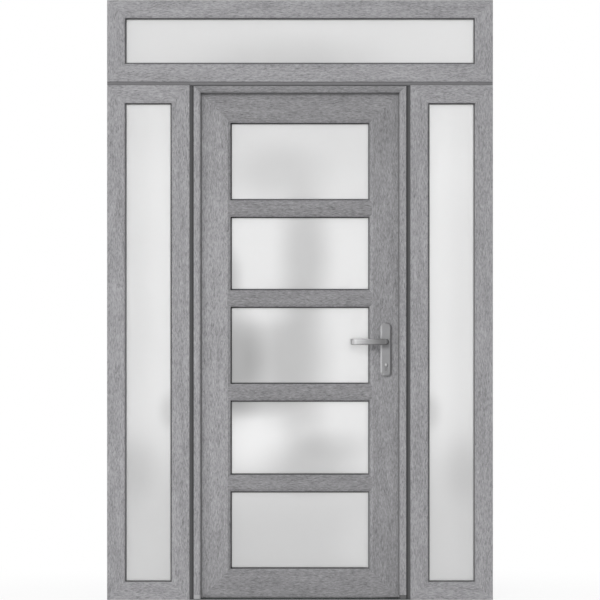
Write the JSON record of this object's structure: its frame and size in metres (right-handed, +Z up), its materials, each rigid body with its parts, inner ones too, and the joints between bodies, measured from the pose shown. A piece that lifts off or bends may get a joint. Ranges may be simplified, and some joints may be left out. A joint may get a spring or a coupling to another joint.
{
  "type": "door with sidelights",
  "caption": "Inward-opening glazed entrance door with a frosted sidelight on each side and a transom light above, in grey wood-grain frames, with lever handles.",
  "frame": {"origin": "on the floor, under the middle of the threshold", "axes": "+Z up, -Y towards the outside face that the picture shows, +X to the right seen from outside"},
  "size_m": [1.524, 0.1978, 2.37],
  "materials": {
    "woodgrain_foil": "embossed wood-grain foil",
    "frosted_glass": "frosted",
    "black_rubber": "matt",
    "dark_strip": "matt",
    "plain_plastic": "satin",
    "mill_aluminium": "satin",
    "hinge_coating": "satin",
    "satin_handle": "satin",
    "lock_steel": "satin"
  },
  "bodies": {
    "frame": {"left_sidelight_outer_jamb": "woodgrain_foil", "left_sidelight_inner_jamb": "woodgrain_foil", "left_sidelight_sill": "woodgrain_foil", "left_sidelight_head": "woodgrain_foil", "right_sidelight_inner_jamb": "woodgrain_foil", "right_sidelight_outer_jamb": "woodgrain_foil", "right_sidelight_sill": "woodgrain_foil", "right_sidelight_head": "woodgrain_foil", "transom_left_jamb": "woodgrain_foil", "transom_right_jamb": "woodgrain_foil", "transom_bottom_rail": "woodgrain_foil", "transom_top_rail": "woodgrain_foil", "left_sidelight_glass": "frosted_glass", "right_sidelight_glass": "frosted_glass", "transom_glass": "frosted_glass", "fixed_light_gaskets": "black_rubber", "fixed_light_beads_upright": "woodgrain_foil", "fixed_light_beads_level": "woodgrain_foil", "door_frame_hinge_jamb": "woodgrain_foil", "door_frame_lock_jamb": "woodgrain_foil", "door_frame_head": "woodgrain_foil", "threshold": "mill_aluminium", "threshold_end_blocks": "plain_plastic", "frame_weather_seal": "black_rubber", "groove_strips": "dark_strip", "transom_couplers": "plain_plastic", "frame_hinges": "hinge_coating", "strike_plate": "lock_steel"},
    "leaf": {"leaf_hinge_stile": "woodgrain_foil", "leaf_lock_stile": "woodgrain_foil", "leaf_top_rail": "woodgrain_foil", "leaf_bottom_rail": "woodgrain_foil", "leaf_bottom_bar": "woodgrain_foil", "leaf_lower_bar": "woodgrain_foil", "leaf_upper_bar": "woodgrain_foil", "leaf_top_bar": "woodgrain_foil", "leaf_glass": "frosted_glass", "leaf_gaskets": "black_rubber", "leaf_beads_upright": "woodgrain_foil", "leaf_beads_level": "woodgrain_foil", "leaf_weather_seal": "black_rubber", "leaf_hinges": "hinge_coating", "lock_faceplate": "lock_steel", "lock_cylinder": "lock_steel", "outside_plate": "satin_handle", "inside_plate": "satin_handle"},
    "levers": {"outside_lever": "satin_handle", "inside_lever": "satin_handle"}
  },
  "joints": [
    {"name": "door_swing", "type": "hinge", "parent": "frame", "child": "leaf", "pos_m": [-0.429, 0.07, 1.02], "axis": [0, 0, 1], "range_deg": [0, 100]},
    {"name": "lever_turn", "type": "hinge", "parent": "leaf", "child": "levers", "pos_m": [0.34, -0.007, 1.02], "axis": [0, -1, 0], "range_deg": [0, 40], "stiffness_Nm_per_rad": 1.5, "springref_deg": -34.38}
  ]
}
